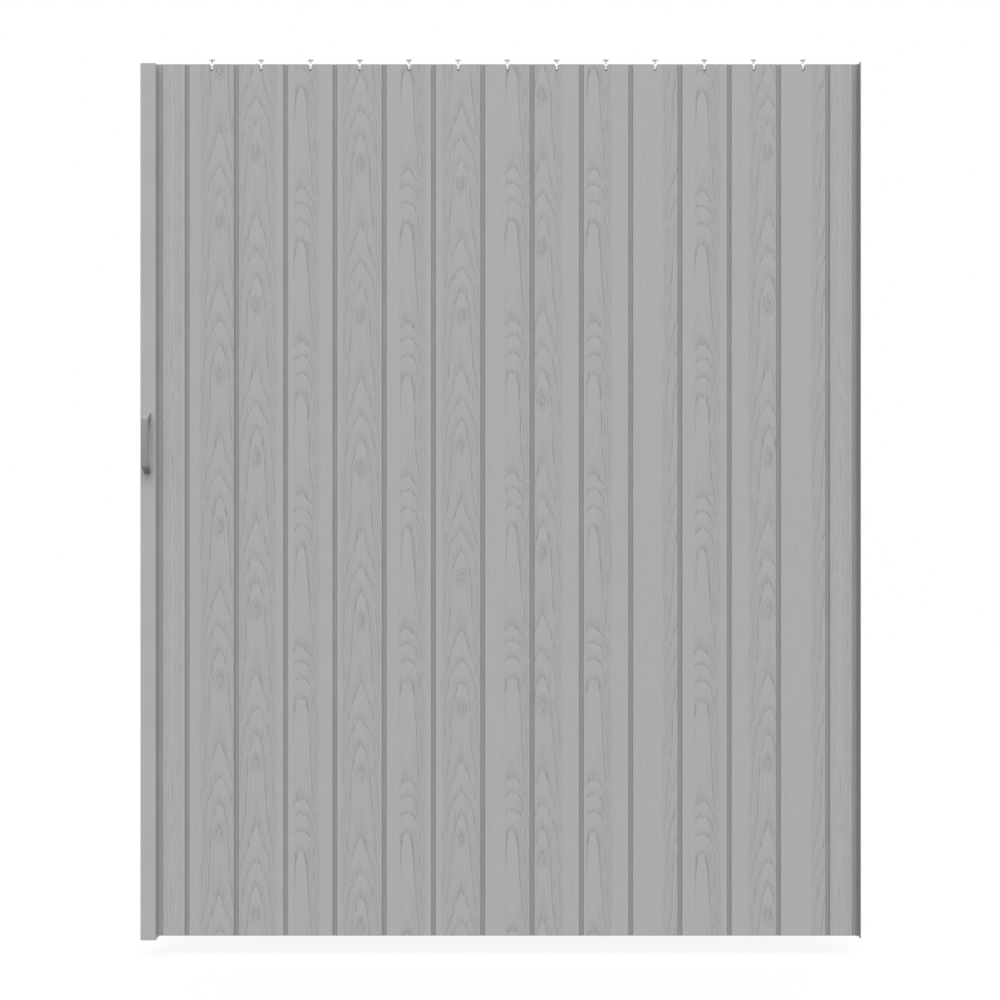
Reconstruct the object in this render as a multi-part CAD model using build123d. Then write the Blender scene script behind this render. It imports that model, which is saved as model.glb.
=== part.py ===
"""An accordion door of hollow plastic panels, drawn out flat across its opening.

Thirteen full panels and a half panel at each end are joined by full-height hinge strips,
whose beads sit in sockets along the panel edges. The half panel at the wall is hinged to
a jamb plate, the one at the free end to a lead post with a pull handle on each face. Each
full panel has a hanger that carries it in the overhead track.

Millimetres, +Z up. The origin lies on the wall face of the jamb plate, at the middle of
its depth and at the foot of the panels. The door runs from the wall towards -X, and its
front faces -Y.
"""
import os
from math import sqrt
from build123d import *

# Panels
panel_height = 2000.0
panel_count = 13             # full panels, between the two half panels
panel_width = 103.1
half_panel_width = 51.3
panel_thickness = 10.0
panel_gap = 10.0             # between two panels, where the hinge strip shows
skin = 1.0                   # front, back and edge walls of a panel
rib = 1.0
edge_radius = 1.5            # rounding of the panels' long edges

# Hinge strips and the sockets that hold them
strip_web = 1.2              # thickness of a strip between its beads
end_reach = 1.0              # strips and jamb plate pass the panel ends by this
bead_width = 3.8             # a bead is a dart: wide behind the lips, narrow at its tip
bead_tip_width = 1.6
bead_length = 3.0
bead_shoulder = 1.0          # straight part of the bead before it narrows
bead_clearance = 0.3         # all round a bead, and beside the web between the lips
socket_lip = 1.2             # depth of the lips that a bead sits behind
socket_wall = 1.0

# Lead post, at the free end
post_width = 35.5
post_depth = 38.0
post_wall = 1.6
post_radius = 2.5
post_below = 6.2              # post past the panels' foot
post_drop = 1.6              # panels' top down to the post's
post_gap = 12.2              # lead half panel to lead post

# Jamb plate, on the wall
jamb_depth = 44.0
jamb_wall = 1.6
jamb_gap = 13.9              # jamb half panel to the plate
screw_hole_radius = 2.25
screw_hole_across = 28.0     # front hole to back hole
screw_hole_apart = 800.0     # one pair of holes to the next, up the plate

# Pull handles
handle_height = 1130.0       # middle of the handle above the panel foot
handle_length = 142.0
handle_width = 15.8
handle_offset = 1.5          # off the post's middle line, towards its free edge
handle_reach = 29.5
handle_foot = 15.0           # length of each foot where it meets the post
handle_grip = 6.0            # thickness of the bar
handle_lean = 14.5           # each foot leans this far towards the middle
handle_outer_bend = 6.0
handle_inner_bend = 3.0
handle_edge = 1.5            # bevel along the bar

# Hangers
hanger_cell_width = 9.0      # middle cell of a panel, which takes the hanger's legs
notch_width = 7.4            # notch in the front skin, round at its foot
notch_depth = 15.2
head_radius = 6.75           # round head, which runs in the track
head_height = 3.0
head_lift = 9.5              # panel top to the underside of the head
stem_width = 5.0
stem_depth = 4.0
stem_drop = 12.0             # panel top to the underside of the stem's foot
foot_width = 6.6
foot_height = 2.0
leg_length = 26.0
leg_width = 0.9
leg_clearance = 0.1

# Places that follow from the sizes, counted from the wall
panel_pitch = panel_width + panel_gap
cell_depth = panel_thickness - 2 * skin
bead_inset = socket_lip + bead_clearance
jamb_mouth = -(jamb_wall + bead_inset + bead_length + bead_clearance)
jamb_panel_right = -(jamb_wall + jamb_gap)
jamb_panel_left = jamb_panel_right - half_panel_width
lead_panel_right = jamb_panel_left - panel_gap - panel_count * panel_pitch
lead_panel_left = lead_panel_right - half_panel_width
post_right = lead_panel_left - post_gap
post_centre = post_right - post_width / 2
post_height = panel_height - post_drop + post_below


def panel_centre(number):
    """Middle of a full panel in X, numbered from the lead end."""
    return lead_panel_right + panel_gap + panel_width / 2 + (number - 1) * panel_pitch


def bead(edge, inward):
    """Outline of a bead that sits behind the lips at the given edge."""
    back = edge + inward * bead_inset
    shoulder = back + inward * bead_shoulder
    tip = back + inward * bead_length
    half, half_tip = bead_width / 2, bead_tip_width / 2
    return make_face(Polyline((back, -half), (shoulder, -half), (tip, -half_tip),
                              (tip, half_tip), (shoulder, half), (back, half), close=True))


def socket_hollow(edge, inward):
    """Room for a bead, with its clearance, and the slot that the web comes out of."""
    room = offset(bead(edge, inward), bead_clearance, kind=Kind.INTERSECTION)
    slot = Pos(edge, 0) * Rectangle(2 * bead_inset, strip_web + 2 * bead_clearance)
    return room + slot


def socket_outside(edge, inward):
    """Outside of a socket: the bead's outline, its clearance and the socket's wall."""
    return offset(bead(edge, inward), bead_clearance + socket_wall, kind=Kind.INTERSECTION)


def hollow_of(width, depth, wall, radius):
    """Inside of a box section, its corners cut off where the outside is rounded."""
    inside = Rectangle(width - 2 * wall, depth - 2 * wall)
    return chamfer(inside.vertices(), (radius - wall) * (2 - sqrt(2)))


def panel_section(width, rib_places):
    """Panel in plan: two skins, ribs across, and a socket along each long edge."""
    hollow = hollow_of(width, panel_thickness, skin, edge_radius)
    for x in rib_places:
        hollow -= Pos(x, 0) * Rectangle(rib, panel_thickness)
    outside = RectangleRounded(width, panel_thickness, edge_radius)
    for side in (-1, 1):
        hollow -= socket_outside(side * width / 2, -side)
    section = outside - hollow
    for side in (-1, 1):
        section -= socket_hollow(side * width / 2, -side)
    return section


def make_full_panel():
    """Full panel, with the hanger's notch at the top of its front skin."""
    inner_rib = (hanger_cell_width + rib) / 2
    outer_rib = panel_width / 4
    panel = extrude(panel_section(panel_width, [-outer_rib, -inner_rib, inner_rib, outer_rib]),
                    panel_height)
    straight = notch_depth - notch_width / 2
    notch = (Pos(0, panel_height) * Rectangle(notch_width, 2 * straight)
             + Pos(0, panel_height - straight) * Circle(notch_width / 2))
    front = Plane.XZ.offset(panel_thickness / 2 - skin)
    return panel - extrude(front * notch, skin)


def make_half_panel():
    """Half panel, with two ribs and no notch."""
    rib_place = half_panel_width / 6
    return extrude(panel_section(half_panel_width, [-rib_place, rib_place]), panel_height)


def make_strip(left_edge, right_edge):
    """Hinge strip from the socket behind one edge to the socket behind another."""
    web_left, web_right = left_edge - bead_inset, right_edge + bead_inset
    web = Pos((web_left + web_right) / 2, 0) * Rectangle(web_right - web_left, strip_web)
    section = web + bead(left_edge, -1) + bead(right_edge, 1)
    return Pos(0, 0, -end_reach) * extrude(section, panel_height + 2 * end_reach)


def standing_box(width, depth, top, bottom, middle_y=0.0):
    """Box between two heights, on the hanger's own middle line in X."""
    return Pos(0, middle_y, (top + bottom) / 2) * Box(width, depth, top - bottom)


def make_hanger():
    """Hanger: round head, flat stem with a wider foot, and a cross-bar with two legs."""
    head_middle = head_lift + head_height / 2
    hanger = Pos(0, 0, head_middle) * Cylinder(head_radius, head_height)
    hanger += standing_box(stem_width, stem_depth, head_lift, -stem_drop)
    hanger += standing_box(foot_width, stem_depth, foot_height - stem_drop, -stem_drop)
    bar_width = hanger_cell_width - 2 * leg_clearance
    bar_depth = cell_depth / 2 - leg_clearance
    hanger += standing_box(bar_width, bar_depth, foot_height - stem_drop, -stem_drop,
                           bar_depth / 2)
    for side in (-1, 1):
        leg = standing_box(leg_width, bar_depth, -stem_drop, -stem_drop - leg_length,
                           bar_depth / 2)
        hanger += Pos(side * (bar_width - leg_width) / 2, 0, 0) * leg
    return Pos(0, 0, panel_height) * hanger


def make_post():
    """Lead post: a box section with one rib, and a socket in the side that faces the panels."""
    hollow = hollow_of(post_width, post_depth, post_wall, post_radius)
    hollow -= Pos(-post_width / 6, 0) * Rectangle(post_wall, post_depth)
    hollow -= socket_outside(post_width / 2, -1)
    section = RectangleRounded(post_width, post_depth, post_radius) - hollow
    section -= socket_hollow(post_width / 2, -1)
    return Pos(post_centre, 0, -post_below) * extrude(section, post_height)


def make_jamb_plate():
    """Jamb plate: a flat strip with screw holes, and a socket standing on it."""
    plate = Pos(-jamb_wall / 2, 0) * Rectangle(jamb_wall, jamb_depth)
    block = Pos((jamb_mouth - jamb_wall) / 2, 0) * Rectangle(
        -jamb_mouth - jamb_wall, bead_width + 2 * (bead_clearance + socket_wall))
    section = plate + block - socket_hollow(jamb_mouth, 1)
    jamb = Pos(0, 0, -end_reach) * extrude(section, panel_height + 2 * end_reach)
    for y in (-screw_hole_across / 2, screw_hole_across / 2):
        for z in (-screw_hole_apart, 0, screw_hole_apart):
            hole = Rot(0, 90, 0) * Cylinder(screw_hole_radius, 2 * jamb_wall)
            jamb -= Pos(-jamb_wall / 2, y, panel_height / 2 + z) * hole
    return jamb


def make_handle():
    """Pull handle: a bowed bar on two leaning feet, standing out from the front of the post."""
    half = handle_length / 2
    reach = handle_reach - handle_grip / 2
    corner = half - handle_lean
    inner_half = half - handle_foot
    inner_reach = reach - handle_grip
    inner_corner = inner_half - handle_lean * inner_reach / reach
    bow = ThreePointArc((reach, -corner), (handle_reach, 0), (reach, corner))
    inner_bow = ThreePointArc((inner_reach, inner_corner), (handle_reach - handle_grip, 0),
                              (inner_reach, -inner_corner))
    top_foot = Polyline((reach, corner), (0, half), (0, inner_half), (inner_reach, inner_corner))
    foot = Polyline((inner_reach, -inner_corner), (0, -inner_half), (0, -half), (reach, -corner))
    profile = make_face([bow, top_foot, inner_bow, foot])
    profile = fillet([v for v in profile.vertices() if abs(v.X - reach) < 0.01],
                     handle_outer_bend)
    profile = fillet([v for v in profile.vertices() if abs(v.X - inner_reach) < 0.01],
                     handle_inner_bend)
    side_on = Plane(origin=(0, 0, 0), x_dir=(0, -1, 0), z_dir=(1, 0, 0))
    handle = extrude(side_on * profile, handle_width / 2, both=True)
    along = [e for e in handle.edges()
             if abs(e.center().X) > handle_width / 2 - 0.01 and e.center().Y < -0.1]
    handle = chamfer(along, handle_edge)
    return Pos(post_centre - handle_offset, -post_depth / 2, handle_height) * handle


def save(shape, name):
    export_step(shape, f"parts/{name}.step")


os.makedirs("parts", exist_ok=True)

full_panel = make_full_panel()
for number in range(1, panel_count + 1):
    save(Pos(panel_centre(number), 0, 0) * full_panel, f"panel_{number:02d}")

half_panel = make_half_panel()
save(Pos(lead_panel_right - half_panel_width / 2, 0, 0) * half_panel, "lead_half_panel")
save(Pos(jamb_panel_right - half_panel_width / 2, 0, 0) * half_panel, "jamb_half_panel")

for number in range(1, panel_count + 2):
    left_edge = lead_panel_right + (number - 1) * panel_pitch
    save(make_strip(left_edge, left_edge + panel_gap), f"hinge_strip_{number:02d}")
save(make_strip(post_right, lead_panel_left), "lead_hinge_strip")
save(make_strip(jamb_panel_right, jamb_mouth), "jamb_hinge_strip")

hanger = make_hanger()
save(Compound(children=[Pos(panel_centre(number), 0, 0) * hanger
                        for number in range(1, panel_count + 1)]), "hangers")

save(make_post(), "lead_post")
save(make_jamb_plate(), "jamb_plate")

front_handle = make_handle()
save(front_handle, "front_handle")
save(mirror(front_handle, about=Plane.XZ), "back_handle")
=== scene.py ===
# %% [markdown]
# # A plastic accordion door
#
# The real object is an interior folding door, drawn out flat: hollow vinyl panels with an
# embossed wood grain, joined by soft hinge strips, with a lead post and pull handles at the
# free end, a jamb plate at the wall and white hangers along the top. The panels, strips,
# post and plate are extrusions, straight from the die, so the construction model already
# has their true shape and they only need a finish. The moulded pieces, the handles and the
# hangers, have soft edges everywhere, so they are modelled here in full.

# %% Load the frame
import math

import bmesh
import bpy
from mathutils import Matrix, Vector


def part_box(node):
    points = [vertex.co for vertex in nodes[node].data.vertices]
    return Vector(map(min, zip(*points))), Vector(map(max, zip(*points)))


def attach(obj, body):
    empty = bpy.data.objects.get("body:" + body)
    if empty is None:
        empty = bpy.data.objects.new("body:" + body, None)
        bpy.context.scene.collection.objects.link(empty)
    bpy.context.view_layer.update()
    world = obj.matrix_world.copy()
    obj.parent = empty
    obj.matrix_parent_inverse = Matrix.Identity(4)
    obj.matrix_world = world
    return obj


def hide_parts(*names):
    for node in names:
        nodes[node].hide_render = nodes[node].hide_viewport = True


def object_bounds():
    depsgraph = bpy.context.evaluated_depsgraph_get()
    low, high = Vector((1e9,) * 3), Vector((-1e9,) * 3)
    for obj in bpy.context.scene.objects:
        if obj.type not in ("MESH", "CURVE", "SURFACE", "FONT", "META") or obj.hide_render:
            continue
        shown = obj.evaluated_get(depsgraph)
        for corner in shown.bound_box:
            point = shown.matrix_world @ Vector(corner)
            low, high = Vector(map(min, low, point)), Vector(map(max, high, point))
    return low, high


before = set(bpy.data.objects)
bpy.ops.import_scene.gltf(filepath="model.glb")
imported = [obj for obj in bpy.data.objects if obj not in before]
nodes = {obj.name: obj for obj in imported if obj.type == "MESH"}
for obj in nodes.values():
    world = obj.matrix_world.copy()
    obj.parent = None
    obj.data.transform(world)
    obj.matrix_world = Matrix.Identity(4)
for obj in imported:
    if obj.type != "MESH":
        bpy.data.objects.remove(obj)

MM = 0.001                       # the scene is in metres, real sizes are in millimetres
PVC_IOR, ABS_IOR, NYLON_IOR = 1.53, 1.54, 1.53
cad_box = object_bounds()
print("frame:", len(nodes), "nodes, from", cad_box[0], "to", cad_box[1])

# %% [markdown]
# ## The camera
#
# The photograph looks at the door square on, from the height of its middle. How far the
# front of the lead post and the handle are pushed outwards, compared with the panels behind
# them, says how far away the camera stood: about 3.3 m. The focal length then follows from
# how much of the picture the panels fill. A longer lens from further off would frame the
# door as well, but would hide the side of the lead post, which the photograph shows.

# %% Place the camera
PICTURE = 1000.0                 # the photograph's side, in pixels
PANELS_TOP, PANELS_BOTTOM = 64.2, 935.8     # where the panels start and end in it
AXIS_COLUMN = 500.0              # the column that the camera looks along
JAMB_PANEL_COLUMN = 852.34       # right edge of the jamb half panel
CAMERA_DISTANCE = 3.3
SENSOR_WIDTH = 36.0              # of a full-frame camera, in mm

panel_low, panel_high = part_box("panel_07")
panel_height = panel_high.z - panel_low.z
front = panel_low.y
per_pixel = panel_height / (PANELS_BOTTOM - PANELS_TOP)
jamb_panel_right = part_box("jamb_half_panel")[1].x
camera_x = jamb_panel_right - (JAMB_PANEL_COLUMN - AXIS_COLUMN) * per_pixel

lens = bpy.data.cameras.new("camera")
lens.sensor_fit = "HORIZONTAL"
lens.sensor_width = SENSOR_WIDTH
lens.lens = SENSOR_WIDTH * CAMERA_DISTANCE / (per_pixel * PICTURE)
camera = bpy.data.objects.new("camera", lens)
camera.location = (camera_x, front - CAMERA_DISTANCE, panel_low.z + panel_height / 2)
camera.rotation_euler = (math.radians(90), 0, 0)
bpy.context.scene.collection.objects.link(camera)
bpy.context.scene.camera = camera
print("camera:", round(lens.lens, 1), "mm at", camera.location)

# %% [markdown]
# ## A plain studio
#
# The picture has a white ground and soft light from all round, much stronger from above, so
# that the handle's upper foot is as light as the post and the undersides are dark. Yet the
# panels are as light at the foot as at the top. A lamp near the door would fade down its
# two metres, so the light comes from the world, whose strength grows evenly from the ground
# to the sky, and from a wide, soft sun. A weaker one behind keeps the back as easy to see.
# The floor would darken the door's foot, so only the camera sees it, with the door's shadow.

# %% Colours and nodes
def colour(hex_code, alpha=1.0):
    """Turns an sRGB hex code, as a colour picker shows it, into a node's linear colour."""
    channels = [int(hex_code[i:i + 2], 16) / 255 for i in (1, 3, 5)]
    return tuple(c / 12.92 if c <= 0.04045 else ((c + 0.055) / 1.055) ** 2.4
                 for c in channels) + (alpha,)


def add_node(tree, kind, inputs=None, **settings):
    """Adds a node. Each input is either another node's output, to link, or a plain value."""
    made = tree.nodes.new(kind)
    for name, value in settings.items():
        setattr(made, name, value)
    for socket, value in (inputs or {}).items():
        if isinstance(value, bpy.types.NodeSocket):
            tree.links.new(value, made.inputs[socket])
        else:
            made.inputs[socket].default_value = value
    return made


# %% The world
LIGHT_LEVEL = 0.53               # strength of the world's light at the horizon
LIGHT_RISE = 0.51                # how much stronger it is straight up, and weaker down

world = bpy.data.worlds.new("studio")
bpy.context.scene.world = world
world.use_nodes = True
sky = world.node_tree
sky.nodes.clear()
direction = add_node(sky, "ShaderNodeTexCoord")
height = add_node(sky, "ShaderNodeSeparateXYZ", {0: direction.outputs["Generated"]})
soft_light = add_node(sky, "ShaderNodeMapRange", {
    "Value": height.outputs["Z"], "From Min": -1.0, "From Max": 1.0,
    "To Min": LIGHT_LEVEL - LIGHT_RISE, "To Max": LIGHT_LEVEL + LIGHT_RISE})
path = add_node(sky, "ShaderNodeLightPath")
mirrored = add_node(sky, "ShaderNodeMath", {
    0: path.outputs["Is Glossy Ray"], 1: path.outputs["Is Transmission Ray"]},
    operation="MAXIMUM")
seen = add_node(sky, "ShaderNodeMath", {
    0: path.outputs["Is Camera Ray"], 1: mirrored.outputs[0]}, operation="MAXIMUM")
lighting = add_node(sky, "ShaderNodeBackground", {
    "Color": (1, 1, 1, 1), "Strength": soft_light.outputs["Result"]})
white = add_node(sky, "ShaderNodeBackground", {"Color": (1, 1, 1, 1), "Strength": 1.0})
chosen = add_node(sky, "ShaderNodeMixShader", {
    0: seen.outputs[0], 1: lighting.outputs[0], 2: white.outputs[0]})
add_node(sky, "ShaderNodeOutputWorld", {"Surface": chosen.outputs[0]})

# %% The suns and the floor
# Each sun's strength, its height above the horizon and its turn about the door, in degrees.
SUNS = {"front_sun": (2.1, 60.0, 0.0), "back_sun": (0.75, 30.0, 180.0)}
SUN_WIDTH = 50.0                 # degrees across
FLOOR_DROP = 0.045               # the door hangs clear of the floor
FLOOR_SIZE = 14.0                # as deep as the camera and the suns' soft shadows need
FLOOR_GLOW = 0.81                # brings the lit floor up to white, where no shadow falls

for name, (strength, above, turned) in SUNS.items():
    sun_data = bpy.data.lights.new(name, "SUN")
    sun_data.energy = strength
    sun_data.angle = math.radians(SUN_WIDTH)
    sun = bpy.data.objects.new(name, sun_data)
    sun.rotation_euler = (math.radians(90 - above), 0, math.radians(turned))
    bpy.context.scene.collection.objects.link(sun)

middle = (cad_box[0] + cad_box[1]) / 2
floor_mesh = bmesh.new()
bmesh.ops.create_grid(floor_mesh, x_segments=1, y_segments=1, size=FLOOR_SIZE / 2)
floor_place = Vector((middle.x, middle.y, cad_box[0].z - FLOOR_DROP))
bmesh.ops.translate(floor_mesh, verts=floor_mesh.verts, vec=floor_place)
floor_data = bpy.data.meshes.new("floor")
floor_mesh.to_mesh(floor_data)
floor_mesh.free()
floor = bpy.data.objects.new("floor", floor_data)
bpy.context.scene.collection.objects.link(floor)

floor_paint = bpy.data.materials.new("studio_floor_paint")
floor_paint.use_nodes = True
floor_tree = floor_paint.node_tree
floor_tree.nodes.clear()
floor_path = add_node(floor_tree, "ShaderNodeLightPath")
to_camera = add_node(floor_tree, "ShaderNodeBsdfDiffuse", {"Color": colour("#6A6A6A")})
to_door = add_node(floor_tree, "ShaderNodeBsdfTransparent")
glow = add_node(floor_tree, "ShaderNodeEmission", {
    "Color": (1, 1, 1, 1), "Strength": FLOOR_GLOW})
camera_side = add_node(floor_tree, "ShaderNodeAddShader", {
    0: to_camera.outputs[0], 1: glow.outputs[0]})
floor_mix = add_node(floor_tree, "ShaderNodeMixShader", {
    0: floor_path.outputs["Is Camera Ray"], 1: to_door.outputs[0],
    2: camera_side.outputs[0]})
add_node(floor_tree, "ShaderNodeOutputMaterial", {"Surface": floor_mix.outputs[0]})
floor_data.materials.append(floor_paint)
print("studio:", len(SUNS), "suns, floor at", round(floor_place.z, 3), "m")

# %% [markdown]
# ## Rigid vinyl with an embossed oak grain
#
# The panels are unplasticised PVC, coloured right through, and a heated steel roller
# presses a wood grain into each face as it leaves the die. So the grain is no print: it is
# a shallow relief, and its valleys look a little darker because they hold less light. The
# roller's pattern comes round again every 350 mm. An image would be the usual way to get
# it, but a wood grain is easy to work out: a plank cuts a tree's yearly rings at a slant, so
# each ring shows as an arch with long legs, one arch inside the next. One number, the ring
# number, grows both up the panel and away from the arches' middle line, and a dark line
# runs wherever it passes a whole number. Thinner lines, a few to a ring, fill the legs, and
# lines that stand nearly upright run along the sides, as in a real plank.

# %% The rings
REPEAT = 350.0                   # one turn of the embossing roller, in mm
HALF_REPEAT = 991.0              # measured on the half panels, so perhaps a larger roller
# Heights up one turn, in mm, and the ring number that the middle line has there. An arch
# stands wherever it is whole.
EYED_RINGS = ((0.0, -0.5), (62.0, 0.0), (119.0, 1.0), (202.0, 2.0), (REPEAT, 2.5))
BUNCHED_RINGS = ((0.0, 0.0), (45.0, 1.0), (85.0, 2.0), (119.0, 3.0), (REPEAT, 4.0))
QUIET_RINGS = ((0.0, -0.1), (23.0, 0.0), (172.0, 1.0), (252.0, 2.0), (HALF_REPEAT, 2.9))
LEG_PITCH = 5.4                  # from one upright line to the next, at the sides
LEG_LEAN = 0.5                   # lines that these lean inwards by, from ring to ring
EYE_DEPTH = 1.6                  # rings that close on themselves in an eye, about
EYE_WIDTH, EYE_HEIGHT = 12.5, 22.0          # from its middle, in mm
EYE_DROP = 3.0                   # its middle stands this far below where a turn starts
EYE_SHADE = 0.5                  # how much darker its middle is
# The tree never grew quite straight. A bend is drawn as noise this wide and this long, in
# mm, and moves a line this far: sideways, up the panel, and along the legs in whole lines.
WAVER, RIPPLE, DRIFT = (30.0, 110.0, 12.0), (7.0, 16.0, 20.0), (40.0, 150.0, 3.0)
THROUGH = 0.02                   # per mm of depth: hardly any change from skin to skin
# How sharply a line starts, and its weight: of arches, by the middle line and out on the
# legs, of the thin lines between them, and of the nearly upright ones.
ARCH_SHARPNESS, ARCH_WEIGHT, ARCH_LEG_WEIGHT = 4.6, 0.95, 0.3
THIN_SHARPNESS, UPRIGHT_SHARPNESS, LINE_WEIGHT = 2.6, 2.4, 0.55
# Distances from the middle line, in mm, between which arches fade and thin lines appear,
# and the width over which the upright ones do.
ARCH_FADE, THIN_RISE, UPRIGHT_RISE = (24.0, 40.0), (5.0, 17.0), 14.0
EDGE_SOFTNESS = 4.0              # half the width over which the grain ends at a side
# Pores are drawn coarser than real, so that they show in the picture: width and length.
PORE, LOOSE_PORE = (3.0, 40.0), (2.2, 60.0)
# The noise between which they start and are full, then how dark a line is without and with
# them, and how dark one is that stands alone.
PORE_STEP, LOOSE_PORE_STEP = (0.38, 0.58, 0.25, 1.0), (0.50, 0.76, 0.0, 0.25)


def grain_group(name, rings, leg, edges, finer, upright_from, eye_depth=0.0):
    """Builds an oak grain. It takes a place in mm, from the foot of one turn.

    A leg is the distance from the middle line at which an arch has dropped by one ring, and
    a power: at 1 arches are pointed, above 2 they are round. The edges bound the grain.
    Finer is how many thin lines each ring has on its legs, and upright_from is how far
    from the middle line the nearly upright lines begin.
    """
    tree = bpy.data.node_groups.new(name, "ShaderNodeTree")
    face = tree.interface
    face.new_socket("Place", in_out="INPUT", socket_type="NodeSocketVector")
    face.new_socket("Repeat", in_out="INPUT", socket_type="NodeSocketFloat")
    face.new_socket("Valley", in_out="OUTPUT", socket_type="NodeSocketFloat")
    given = add_node(tree, "NodeGroupInput").outputs

    def step(operation, a, b=0.0, **settings):
        return add_node(tree, "ShaderNodeMath", {0: a, 1: b}, operation=operation,
                        **settings).outputs[0]

    def ramp(value, start, end, low=0.0, high=1.0):
        """Goes smoothly from low to high while the value goes from start to end."""
        return add_node(tree, "ShaderNodeMapRange", {
            "Value": value, "From Min": start, "From Max": end, "To Min": low,
            "To Max": high}, interpolation_type="SMOOTHSTEP").outputs["Result"]

    def streaks(width, length, detail):
        """Noise drawn out along the panel, its features about as wide and long as told."""
        place = add_node(tree, "ShaderNodeMapping", {
            "Vector": given["Place"], "Scale": (1 / width, THROUGH, 1 / length)})
        return add_node(tree, "ShaderNodeTexNoise", {
            "Vector": place.outputs[0], "Scale": 1.0, "Detail": detail}).outputs["Fac"]

    parts = add_node(tree, "ShaderNodeSeparateXYZ", {0: given["Place"]})
    waver = step("MULTIPLY", step("SUBTRACT", streaks(*WAVER[:2], 2.0), 0.5), WAVER[2])
    ripple = step("MULTIPLY", step("SUBTRACT", streaks(*RIPPLE[:2], 3.0), 0.5), RIPPLE[2])
    across = step("ADD", parts.outputs["X"], waver)
    up = step("ADD", parts.outputs["Z"], ripple)
    sideways = step("ABSOLUTE", across)

    # up the middle line: whole turns of the roller, and the rings within one turn
    turn = step("DIVIDE", up, given["Repeat"])
    curve = add_node(tree, "ShaderNodeFloatCurve", {"Value": step("FRACT", turn)})
    first, last = rings[0][1], rings[-1][1]
    line = curve.mapping.curves[0]
    for height, number in rings[1:-1]:
        line.points.new(height / rings[-1][0], (number - first) / (last - first))
    for point in line.points:
        point.handle_type = "AUTO_CLAMPED"
    curve.mapping.update()
    turns = step("ADD", step("FLOOR", turn), curve.outputs[0])
    along = step("ADD", step("MULTIPLY", turns, last - first), first)
    ring = step("ADD", along, step("POWER", step("DIVIDE", sideways, leg[0]), leg[1]))

    # the rings close on themselves where a turn starts: near is 1 at the eye's middle
    if eye_depth:
        from_start = step("MULTIPLY", step("SUBTRACT", turn, step("ROUND", turn)), REPEAT)
        eye_up = step("DIVIDE", step("ADD", from_start, EYE_DROP), EYE_HEIGHT)
        eye_across = step("DIVIDE", across, EYE_WIDTH)
        far = step("ADD", step("MULTIPLY", eye_up, eye_up),
                   step("MULTIPLY", eye_across, eye_across))
        near = step("EXPONENT", step("MULTIPLY", step("MULTIPLY", far, far), -1.0))
        ring = step("SUBTRACT", ring, step("MULTIPLY", near, eye_depth))
        shade = step("MULTIPLY", near, EYE_SHADE)

    # each ring starts sharp and fades; thin lines run along its legs, and further out they
    # join nearly upright ones
    def edge_lines(number, sharpness):
        return step("POWER", step("SUBTRACT", 1.0, step("FRACT", number)), sharpness)

    arches = edge_lines(ring, ARCH_SHARPNESS)
    thin = edge_lines(step("MULTIPLY", ring, finer), THIN_SHARPNESS)
    drift = step("MULTIPLY", streaks(*DRIFT[:2], 1.0), DRIFT[2])
    uprights = step("ADD", step("DIVIDE", sideways, LEG_PITCH),
                    step("MULTIPLY", along, LEG_LEAN))
    legs = edge_lines(step("ADD", uprights, drift), UPRIGHT_SHARPNESS)
    arch_weight = ramp(sideways, *ARCH_FADE, ARCH_WEIGHT, ARCH_LEG_WEIGHT)
    thin_weight = ramp(sideways, *THIN_RISE, 0.0, LINE_WEIGHT)
    leg_weight = ramp(sideways, upright_from, upright_from + UPRIGHT_RISE, 0.0, LINE_WEIGHT)
    lines = step("ADD", step("MULTIPLY", arches, arch_weight),
                 step("MULTIPLY", thin, thin_weight))
    lines = step("ADD", lines, step("MULTIPLY", legs, leg_weight))
    if eye_depth:
        lines = step("ADD", lines, shade)
    for edge, low, high in ((edges[0], 0.0, 1.0), (edges[1], 1.0, 0.0)):
        lines = step("MULTIPLY", lines, ramp(
            across, edge - EDGE_SOFTNESS, edge + EDGE_SOFTNESS, low, high))

    # pores break the lines up into dashes, and stand alone between them
    pores = ramp(streaks(*PORE, 3.0), *PORE_STEP)
    loose = ramp(streaks(*LOOSE_PORE, 2.0), *LOOSE_PORE_STEP)
    valley = step("ADD", step("MULTIPLY", lines, pores), loose, use_clamp=True)
    add_node(tree, "NodeGroupOutput", {0: valley})
    return tree


eyed_oak = grain_group("oak_with_eyes", EYED_RINGS, leg=(27.0, 1.6), edges=(-44.0, 46.0),
                       finer=3.0, upright_from=22.0, eye_depth=EYE_DEPTH)
bunched_oak = grain_group("oak_in_bunches", BUNCHED_RINGS, leg=(27.0, 2.6),
                          edges=(-16.0, 42.0), finer=2.0, upright_from=11.0)
quiet_oak = grain_group("quiet_oak", QUIET_RINGS, leg=(9.0, 1.6), edges=(-24.0, 24.0),
                        finer=2.0, upright_from=22.0)
print("oak grain:", len(eyed_oak.nodes), "nodes, repeats every", REPEAT, "mm")

# %% [markdown]
# ## The finish of a panel
#
# Each panel ran under the roller at its own moment and is a slice of its own from a wider
# pattern, so the arches stand at another height and another distance from its middle. That
# is told by moving the same pattern: a mapping node turns metres into millimetres and puts
# an arch of the grain where this panel has one. The relief goes to a bump node with its real
# depth, about a tenth of a millimetre, and it also darkens the colour slightly. The half
# panels have a lighter shade for one reason only: with the shade of the others they came out
# 2 to 3 levels of 255 darker than in the photograph. Why they did wasn't looked into.

# %% Panel vinyl
# Light grey, coloured through, and the shade where the relief holds less light.
PANEL_VINYL = ("#B1B3B2", "#979998")
HALF_VINYL = ("#B4B6B5", "#9A9C9B")         # lighter, only to match the photograph
EMBOSS_DEPTH, EMBOSS_STRENGTH = 0.12, 0.6   # in mm, and how sharply the light takes it
PANEL_ROUGHNESS = (0.46, 0.62)   # of the face, and in the relief's valleys


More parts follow.
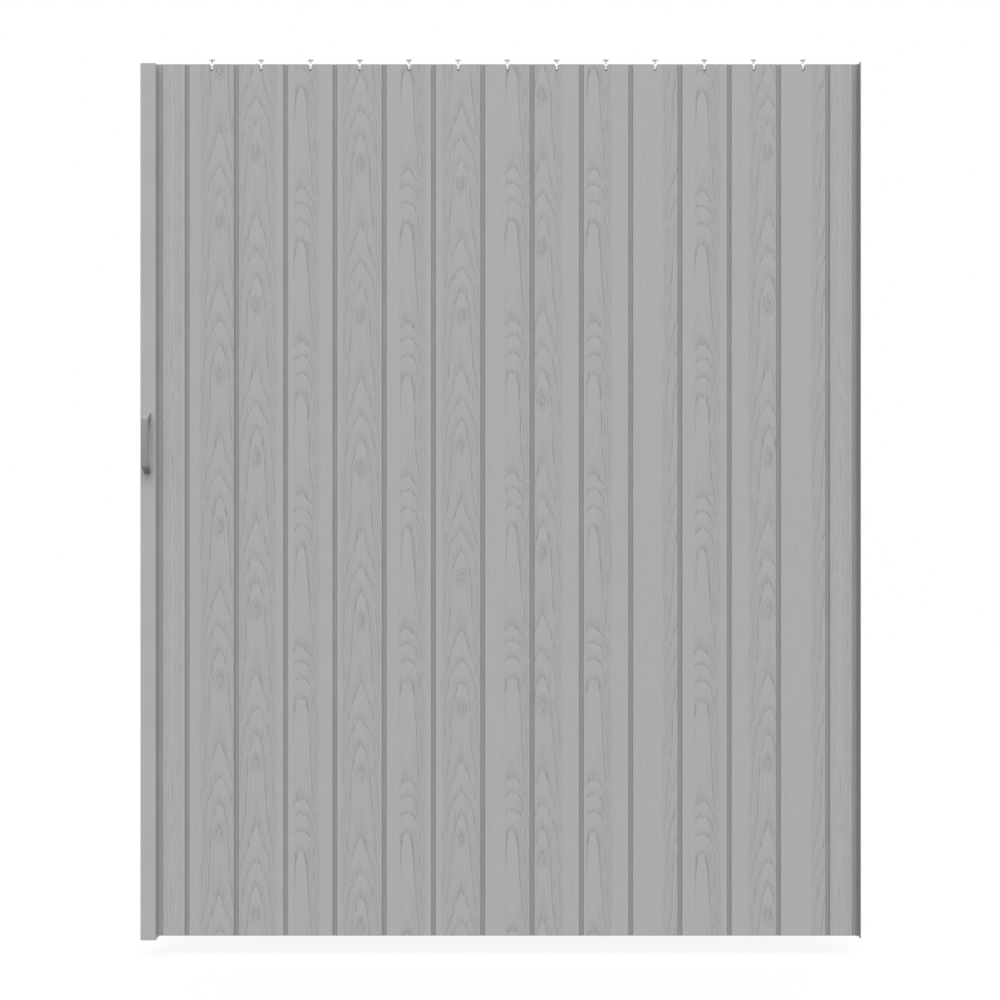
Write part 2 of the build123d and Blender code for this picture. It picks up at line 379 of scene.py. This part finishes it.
def two_colours(tree, amount, first, second):
    """Colour output that goes from the first colour to the second as the amount goes to 1."""
    mix = add_node(tree, "ShaderNodeMix", data_type="RGBA")
    factor, a, b = mix.inputs[0], mix.inputs[6], mix.inputs[7]      # its sockets for colours
    tree.links.new(amount, factor)
    a.default_value = colour(first)
    b.default_value = colour(second)
    return mix.outputs[2]


def new_material(name):
    """A material with an empty node tree and its principled shader."""
    material = bpy.data.materials.new(name)
    material.use_nodes = True
    tree = material.node_tree
    tree.nodes.clear()
    shader = add_node(tree, "ShaderNodeBsdfPrincipled")
    add_node(tree, "ShaderNodeOutputMaterial", {"Surface": shader.outputs[0]})
    return material, tree, shader


def panel_vinyl(name, oak, middle_x, start_z, repeat, shades):
    """Rigid PVC, extruded and embossed with oak: satin, soft grey, with a shallow grain."""
    material, tree, shader = new_material("embossed_rigid_pvc_" + name)
    shader.inputs["IOR"].default_value = PVC_IOR
    place = add_node(tree, "ShaderNodeTexCoord").outputs["Object"]
    in_mm = add_node(tree, "ShaderNodeMapping", {
        "Vector": place, "Scale": (1 / MM, 1 / MM, 1 / MM),
        "Location": (-middle_x, 0.0, -start_z)})
    grain = add_node(tree, "ShaderNodeGroup", node_tree=oak)
    tree.links.new(in_mm.outputs[0], grain.inputs["Place"])
    grain.inputs["Repeat"].default_value = repeat
    valley = grain.outputs["Valley"]
    # the valleys' darker colour is painted shade, where the relief holds less light
    tint = two_colours(tree, valley, *shades)
    tree.links.new(tint, shader.inputs["Base Color"])
    gloss = add_node(tree, "ShaderNodeMapRange", {
        "Value": valley, "To Min": PANEL_ROUGHNESS[0], "To Max": PANEL_ROUGHNESS[1]})
    tree.links.new(gloss.outputs["Result"], shader.inputs["Roughness"])
    relief = add_node(tree, "ShaderNodeBump", {
        "Height": valley, "Strength": EMBOSS_STRENGTH, "Distance": EMBOSS_DEPTH * MM},
        invert=True)
    tree.links.new(relief.outputs[0], shader.inputs["Normal"])
    return material


# %% Where each panel has its grain
# For each panel, from the lead end: which grain, the arches' middle line from the panel's
# own middle and the height of an eye or of a bunch's lowest arch, both in mm.
GRAIN = {
    "lead_half_panel": (quiet_oak, -3.6, 1060.0),
    "panel_01": (eyed_oak, 18.0, 1642.0),
    "panel_02": (eyed_oak, -11.0, 1801.0),
    "panel_03": (bunched_oak, -21.0, 1594.0),
    "panel_04": (eyed_oak, 3.0, 1426.0),
    "panel_05": (bunched_oak, -4.0, 1635.0),
    "panel_06": (eyed_oak, 7.0, 1727.0),
    "panel_07": (bunched_oak, 11.0, 1642.0),
    "panel_08": (eyed_oak, -33.0, 1583.0),
    "panel_09": (bunched_oak, -29.0, 1638.0),
    "panel_10": (eyed_oak, 62.0, 1583.0),
    "panel_11": (bunched_oak, -6.0, 1587.0),
    "panel_12": (eyed_oak, 33.0, 1801.0),
    "panel_13": (eyed_oak, 64.0, 1801.0),
    "jamb_half_panel": (quiet_oak, -2.7, 1060.0),
}
OTHER_REPEAT = {"panel_06": 300.0,
                "lead_half_panel": HALF_REPEAT, "jamb_half_panel": HALF_REPEAT}


def dress(node, material):
    """Gives a node of the construction model its finish."""
    nodes[node].data.materials[0] = material


for name, (oak, from_middle, start_z) in GRAIN.items():
    low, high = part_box(name)
    middle_x = (low.x + high.x) / 2 / MM + from_middle
    repeat = OTHER_REPEAT.get(name, REPEAT)
    shades = HALF_VINYL if "half" in name else PANEL_VINYL
    dress(name, panel_vinyl(name, oak, middle_x, start_z, repeat, shades))
print("panels dressed:", len(GRAIN))

# %% [markdown]
# ## Smooth extrusions: post, plate and hinge strips
#
# The lead post and the jamb plate are the same rigid vinyl with no embossing, so the eye
# sees only what the die leaves: very fine lines along the length and a slight waviness.
# The hinge strips are taken as plasticised vinyl, which is soft enough to fold for years.
# They are a little darker and bluer in the photograph. That soft vinyl scatters light more
# and has a faint leathery skin is a guess. All of them are made by one function, because
# they differ only in colour, gloss and texture.

# %% Extruded vinyl
DIE_LINE_WIDTH, DIE_LINE_LENGTH = 1.4, 260.0     # mm, coarser than real so that they show
CLOUD_SIZE, SKIN_SIZE = 90.0, 1.1                # mm, the skin coarser than real
GLOSS_SPREAD = 0.04                              # up and down from the roughness


def extruded_vinyl(name, shade, worn_shade, roughness, line_depth, skin_depth):
    """Extruded PVC: drawn lines along Z, faint clouding, and a fine skin."""
    material, tree, shader = new_material(name)
    shader.inputs["IOR"].default_value = PVC_IOR
    place = add_node(tree, "ShaderNodeTexCoord").outputs["Object"]
    drawn = add_node(tree, "ShaderNodeMapping", {
        "Vector": place, "Scale": (1 / (DIE_LINE_WIDTH * MM), 1 / (DIE_LINE_WIDTH * MM),
                                   1 / (DIE_LINE_LENGTH * MM))})
    lines = add_node(tree, "ShaderNodeTexNoise", {
        "Vector": drawn.outputs[0], "Scale": 1.0, "Detail": 3.0})
    cloud = add_node(tree, "ShaderNodeTexNoise", {
        "Vector": place, "Scale": 1 / (CLOUD_SIZE * MM), "Detail": 2.0})
    skin = add_node(tree, "ShaderNodeTexNoise", {
        "Vector": place, "Scale": 1 / (SKIN_SIZE * MM), "Detail": 2.0})
    both = add_node(tree, "ShaderNodeMath", {
        0: lines.outputs["Fac"], 1: cloud.outputs["Fac"]}, operation="MULTIPLY")
    amount = add_node(tree, "ShaderNodeMapRange", {
        "Value": both.outputs[0], "From Min": 0.16, "From Max": 0.36})
    tint = two_colours(tree, amount.outputs["Result"], worn_shade, shade)
    tree.links.new(tint, shader.inputs["Base Color"])
    gloss = add_node(tree, "ShaderNodeMapRange", {
        "Value": cloud.outputs["Fac"], "From Min": 0.3, "From Max": 0.7,
        "To Min": roughness - GLOSS_SPREAD, "To Max": roughness + GLOSS_SPREAD})
    tree.links.new(gloss.outputs["Result"], shader.inputs["Roughness"])
    fine = add_node(tree, "ShaderNodeBump", {
        "Height": skin.outputs["Fac"], "Strength": 0.5, "Distance": skin_depth * MM})
    long = add_node(tree, "ShaderNodeBump", {
        "Height": lines.outputs["Fac"], "Strength": 0.5, "Distance": line_depth * MM,
        "Normal": fine.outputs[0]})
    tree.links.new(long.outputs[0], shader.inputs["Normal"])
    return material


rigid = {"line_depth": 0.03, "skin_depth": 0.01}         # mm
soft = {"roughness": 0.52, "line_depth": 0.04, "skin_depth": 0.03}
dress("lead_post", extruded_vinyl("extruded_rigid_pvc", "#B4B6B4", "#B0B2B1",
                                  roughness=0.42, **rigid))
dress("jamb_plate", extruded_vinyl("extruded_rigid_pvc_dark", "#96989C", "#909296",
                                   roughness=0.44, **rigid))
# the strips at both ends are made lighter, only to come out as bright as photographed:
# painted light that makes up for the shade of the post and the plate beside them
hinge_vinyl = extruded_vinyl("extruded_soft_pvc", "#9A9CA0", "#94969A", **soft)
end_vinyl_with_painted_light = extruded_vinyl("extruded_soft_pvc_painted_light", "#A6A8AC", "#A0A2A6", **soft)
strips = [name for name in nodes if "hinge_strip" in name]
for name in strips:
    dress(name, hinge_vinyl if name[-1].isdigit() else end_vinyl_with_painted_light)
print("plain extrusions dressed:", 2 + len(strips))

# %% [markdown]
# ## The pull handles
#
# A pull handle for such a door is moulded in ABS: a bar that bows outwards a little, on two
# feet that lean towards each other, with every edge rounded so that it is kind to the hand.
# It is one section carried along a path, so it is modelled by extruding the foot's face
# from station to station and turning it a little each time. The long edges are bevelled at
# the end, in one go, which keeps the rounding even through the bends.

# %% Helpers for new pieces
CREASE = math.radians(32)


def finish_piece(mesh_builder, name, material, replaced):
    """Turns a bmesh into a piece of the object that stands for a node of the frame."""
    bmesh.ops.recalc_face_normals(mesh_builder, faces=mesh_builder.faces)
    mesh = bpy.data.meshes.new(name)
    mesh_builder.to_mesh(mesh)
    mesh_builder.free()
    mesh.materials.append(material)
    piece = bpy.data.objects.new(name, mesh)
    bpy.context.scene.collection.objects.link(piece)
    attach(piece, "root")
    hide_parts(replaced)
    return piece


def shade_softly(mesh_builder):
    """Smooth shading, with a crease wherever two faces meet at a clear angle."""
    for face in mesh_builder.faces:
        face.smooth = True
    for edge in mesh_builder.edges:
        edge.smooth = edge.is_manifold and edge.calc_face_angle() < CREASE


# %% The handle's path
HANDLE_FOOT = 15.0               # foot on the post, along its height
HANDLE_GRIP = 6.0                # thickness of the bar
HANDLE_BOW = 3.0                 # how far the bar bows out between its ends
HANDLE_LEAN = 14.5               # how far a foot leans towards the middle
OUTER_BEND, INNER_BEND = 6.0, 3.0
HANDLE_EDGE = 2.6                # rounding of the long edges
BOW_STEPS, BEND_STEPS = 8, 6

handle_low, handle_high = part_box("front_handle")
handle_size = (handle_high - handle_low) / MM


def outline(foot_up, bar_out, bend):
    """One outline of the upper half, from the post to the middle, as (out, up) in mm."""
    outer_reach = handle_size.y - HANDLE_BOW
    foot = Vector((outer_reach, -HANDLE_LEAN)).normalized()
    corner_out = bar_out - HANDLE_BOW
    corner = Vector((corner_out, foot_up + foot.y / foot.x * corner_out))
    bar = Vector((2 * HANDLE_BOW / corner.y, -1.0)).normalized()
    turn = foot.angle(bar)
    start = corner - foot * bend * math.tan(turn / 2)
    centre = start + Vector((foot.y, -foot.x)) * bend
    points = [Vector((0.0, foot_up))]
    for step in range(BEND_STEPS + 1):
        spoke = (start - centre).to_3d()
        spoke.rotate(Matrix.Rotation(-turn * step / BEND_STEPS, 3, "Z"))
        points.append(centre + spoke.to_2d())
    end_up = points[-1].y
    for step in range(1, BOW_STEPS + 1):
        up = end_up * (1 - step / BOW_STEPS)
        points.append(Vector((bar_out - HANDLE_BOW * (up / corner.y) ** 2, up)))
    return points


def handle_stations():
    """Sections down the whole handle: (out, up, tilt in radians, thickness)."""
    half = handle_size.z / 2
    outer = outline(half, handle_size.y, OUTER_BEND)
    inner = outline(half - HANDLE_FOOT, handle_size.y - HANDLE_GRIP, INNER_BEND)
    upper = []
    for a, b in zip(outer, inner):
        through, centre = a - b, (a + b) / 2
        upper.append((centre.x, centre.y, math.atan2(through.x, through.y), through.length))
    lower = [(out, -up, math.pi - tilt, thick) for out, up, tilt, thick in upper[-2::-1]]
    return upper + lower


stations = handle_stations()
print("handle:", len(stations), "stations over", round(handle_size.z, 1), "mm")

# %% Moulded ABS
SPARK_SIZE, SPARK_DEPTH = 0.7, 0.02              # mm, wider than real so that it shows
ABS_CLOUD_SIZE = 30.0                            # mm


def moulded_abs(name, shade, shadow_shade, roughness):
    """Moulded ABS: an even spark-eroded texture and slightly rubbed high spots."""
    material, tree, shader = new_material(name)
    shader.inputs["IOR"].default_value = ABS_IOR
    place = add_node(tree, "ShaderNodeTexCoord").outputs["Object"]
    spark = add_node(tree, "ShaderNodeTexNoise", {
        "Vector": place, "Scale": 1 / (SPARK_SIZE * MM), "Detail": 3.0, "Roughness": 0.6})
    cloud = add_node(tree, "ShaderNodeTexNoise", {
        "Vector": place, "Scale": 1 / (ABS_CLOUD_SIZE * MM), "Detail": 2.0})
    tint = two_colours(tree, cloud.outputs["Fac"], shadow_shade, shade)
    tree.links.new(tint, shader.inputs["Base Color"])
    gloss = add_node(tree, "ShaderNodeMapRange", {
        "Value": spark.outputs["Fac"], "From Min": 0.3, "From Max": 0.7,
        "To Min": roughness - 0.05, "To Max": roughness + 0.07})
    tree.links.new(gloss.outputs["Result"], shader.inputs["Roughness"])
    relief = add_node(tree, "ShaderNodeBump", {
        "Height": spark.outputs["Fac"], "Strength": 0.5, "Distance": SPARK_DEPTH * MM})
    tree.links.new(relief.outputs[0], shader.inputs["Normal"])
    return material


handle_abs = moulded_abs("moulded_abs", "#92949A", "#8D8F95", 0.36)

# %% The handles
SHARP = math.radians(50)


def placed(station, side):
    """Matrix that carries a unit square in X and Z to a station of the handle."""
    out, up, tilt, thick = station
    turn = Matrix.Rotation(-side * tilt, 4, "X")
    size = Matrix.Diagonal((handle_size.x * MM, 1.0, thick * MM, 1.0))
    return Matrix.Translation((0.0, side * out * MM, up * MM)) @ turn @ size


def make_handle(name, side):
    """One handle; side is -1 on the front of the post and 1 on its back."""
    builder = bmesh.new()
    bmesh.ops.create_grid(builder, x_segments=1, y_segments=1, size=0.5,
                          matrix=Matrix.Rotation(math.pi / 2, 4, "X"))
    face = builder.faces[:][0]
    bmesh.ops.transform(builder, matrix=placed(stations[0], side), verts=builder.verts)
    before = placed(stations[0], side)
    bmesh.ops.duplicate(builder, geom=[face])        # stays behind as the end on the post
    for station in stations[1:]:
        after = placed(station, side)
        face = bmesh.ops.extrude_discrete_faces(builder, faces=[face])["faces"][0]
        bmesh.ops.transform(builder, matrix=after @ before.inverted(), verts=face.verts)
        before = after
    bmesh.ops.remove_doubles(builder, verts=builder.verts, dist=1e-6)
    bmesh.ops.recalc_face_normals(builder, faces=builder.faces)
    long_edges = [e for e in builder.edges if e.is_manifold and e.calc_face_angle() > SHARP
                  and max(abs(v.co.y) for v in e.verts) > 0.1 * MM]
    bmesh.ops.bevel(builder, geom=long_edges, offset=HANDLE_EDGE * MM, offset_type="OFFSET",
                    segments=4, profile=0.5, affect="EDGES", material=-1)
    shade_softly(builder)
    low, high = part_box(name)
    root = low.y if side > 0 else high.y
    bmesh.ops.translate(builder, verts=builder.verts,
                        vec=((low.x + high.x) / 2, root, (low.z + high.z) / 2))
    piece = finish_piece(builder, "moulded_" + name, handle_abs, name)
    print(name, "has", len(piece.data.polygons), "faces")


make_handle("front_handle", -1)
make_handle("back_handle", 1)

# %% [markdown]
# ## The hangers
#
# A hanger is moulded in white nylon, which slides in the track without grease: a round
# head, a flat stem that widens to a foot, and a cross-bar whose two legs push down into the
# panel's middle cell. Each part starts as a plain solid with a bevel on all its edges, and
# a Boolean joins them, because a moulding is one piece with no hidden faces inside. Nylon
# lets a little light in, so its shadows are soft, and it has the sheen of a new bobbin.

# %% The shape of one hanger
HEAD_RADIUS, HEAD_HEIGHT, HEAD_LIFT = 6.75, 3.0, 9.5
STEM_WIDTH, STEM_DEPTH, STEM_DROP = 5.0, 4.0, 12.0
NECK_WIDTH = 3.4                 # where the stem meets the head
WEB_TOP, WEB_FOOT = 5.4, 6.9     # widths of the web in the notch, above and below
WEB_FRONT = 3.0                  # its face, from the panel's middle
FOOT_HEIGHT = 2.0
BAR_WIDTH, BAR_DEPTH = 8.8, 3.9
LEG_WIDTH, LEG_LENGTH = 0.9, 26.0
SOFT_EDGE = 0.3
STEP = 0.2                       # no two faces lie nearer than this, so they join cleanly


def rounded_block(size, centre):
    """Object with a block whose edges are rounded, for a Boolean."""
    builder = bmesh.new()
    bmesh.ops.create_cube(builder, size=1.0)
    bmesh.ops.scale(builder, verts=builder.verts, vec=Vector(size) * MM)
    bmesh.ops.bevel(builder, geom=builder.edges[:], offset=SOFT_EDGE * MM, segments=2,
                    profile=0.5, affect="EDGES", material=-1)
    bmesh.ops.translate(builder, verts=builder.verts, vec=Vector(centre) * MM)
    return builder


def tapered_block(size, centre, top_width):
    """A rounded block that narrows or widens towards its top."""
    builder = rounded_block(size, centre)
    top = [v for v in builder.verts if v.co.z > centre[2] * MM]
    bmesh.ops.scale(builder, verts=top, vec=(top_width / size[0], 1.0, 1.0))
    return builder


def domed_head():
    """The head: a disc, its rim rounded above and below."""
    builder = bmesh.new()
    bmesh.ops.create_cone(builder, cap_ends=True, segments=40, radius1=HEAD_RADIUS * MM,
                          radius2=HEAD_RADIUS * MM, depth=HEAD_HEIGHT * MM)
    rims = [e for e in builder.edges if abs(e.verts[0].co.z - e.verts[1].co.z) < 1e-9]
    bmesh.ops.bevel(builder, geom=rims, offset=0.8 * MM, segments=3, profile=0.5,
                    affect="EDGES", material=-1)
    bmesh.ops.translate(builder, verts=builder.verts,
                        vec=(0, 0, (HEAD_LIFT + HEAD_HEIGHT / 2) * MM))
    return builder


def as_object(builder, name):
    mesh = bpy.data.meshes.new(name)
    builder.to_mesh(mesh)
    builder.free()
    made = bpy.data.objects.new(name, mesh)
    bpy.context.scene.collection.objects.link(made)
    return made


def joined(base, others):
    """One closed mesh from a solid and the solids that overlap it."""
    for other in others:
        union = base.modifiers.new("join", "BOOLEAN")
        union.operation = "UNION"
        union.solver = "EXACT"
        union.object = other
    graph = bpy.context.evaluated_depsgraph_get()
    mesh = bpy.data.meshes.new_from_object(base.evaluated_get(graph))
    for used in [base] + others:
        bpy.data.objects.remove(used)
    return mesh


foot_middle = FOOT_HEIGHT / 2 - STEM_DROP
stem_top = HEAD_LIFT + 1.0
neck = tapered_block((STEM_WIDTH, STEM_DEPTH, stem_top + 1.0), (0, 0, (stem_top - 1.0) / 2),
                     NECK_WIDTH)
web_depth = WEB_FRONT + STEM_DEPTH / 2 - STEP
web = tapered_block((WEB_FOOT, web_depth, STEM_DROP),
                    (0, web_depth / 2 - WEB_FRONT, -STEM_DROP / 2), WEB_TOP)
blocks = [((BAR_WIDTH, BAR_DEPTH, FOOT_HEIGHT - 2 * STEP), (0, BAR_DEPTH / 2, foot_middle))]
for side in (-1, 1):
    leg_size = (LEG_WIDTH, BAR_DEPTH - 4 * STEP, LEG_LENGTH + FOOT_HEIGHT / 2)
    leg_x = side * (BAR_WIDTH / 2 - LEG_WIDTH / 2 - 2 * STEP)
    blocks.append((leg_size, (leg_x, BAR_DEPTH / 2, foot_middle - leg_size[2] / 2)))
head = as_object(domed_head(), "head")
others = [as_object(rounded_block(size, centre), "block") for size, centre in blocks]
others += [as_object(neck, "neck"), as_object(web, "web")]
hanger_shape = joined(head, others)
print("hanger:", len(hanger_shape.polygons), "faces,", len(others) + 1, "solids joined")

# %% Moulded nylon and thirteen hangers
FLOW_SIZE, FLOW_DEPTH = 5.0, 0.05                # of the flow marks, mm
LIGHT_DEPTH = 3.0                                # how far light gets into nylon, mm


def moulded_nylon():
    """White nylon 6: waxy, a little light goes in, faint flow marks from the mould."""
    material, tree, shader = new_material("moulded_nylon")
    shader.inputs["IOR"].default_value = NYLON_IOR
    shader.inputs["Subsurface Weight"].default_value = 0.8
    shader.inputs["Subsurface Radius"].default_value = (1.0, 1.0, 0.97)
    shader.inputs["Subsurface Scale"].default_value = LIGHT_DEPTH * MM
    place = add_node(tree, "ShaderNodeTexCoord").outputs["Object"]
    flow = add_node(tree, "ShaderNodeTexNoise", {
        "Vector": place, "Scale": 1 / (FLOW_SIZE * MM), "Detail": 3.0})
    tint = two_colours(tree, flow.outputs["Fac"], "#F9F9F8", "#FDFDFC")
    tree.links.new(tint, shader.inputs["Base Color"])
    gloss = add_node(tree, "ShaderNodeMapRange", {
        "Value": flow.outputs["Fac"], "From Min": 0.3, "From Max": 0.7,
        "To Min": 0.30, "To Max": 0.42})
    tree.links.new(gloss.outputs["Result"], shader.inputs["Roughness"])
    relief = add_node(tree, "ShaderNodeBump", {
        "Height": flow.outputs["Fac"], "Strength": 0.3, "Distance": FLOW_DEPTH * MM})
    tree.links.new(relief.outputs[0], shader.inputs["Normal"])
    return material


nylon = moulded_nylon()
panels = sorted(name for name in nodes if name.startswith("panel_"))
for number, name in enumerate(panels, start=1):
    low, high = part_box(name)
    builder = bmesh.new()
    builder.from_mesh(hanger_shape)
    bmesh.ops.remove_doubles(builder, verts=builder.verts, dist=0.01 * MM)
    shade_softly(builder)
    bmesh.ops.translate(builder, verts=builder.verts,
                        vec=((low.x + high.x) / 2, (low.y + high.y) / 2, high.z))
    finish_piece(builder, f"hanger_{number:02d}", nylon, "hangers")
print("hangers:", len(panels))

# %% [markdown]
# ## Finish
#
# The picture is shown through the plain Standard view transform.

# %% The view transform
bpy.context.scene.view_settings.view_transform = "Standard"
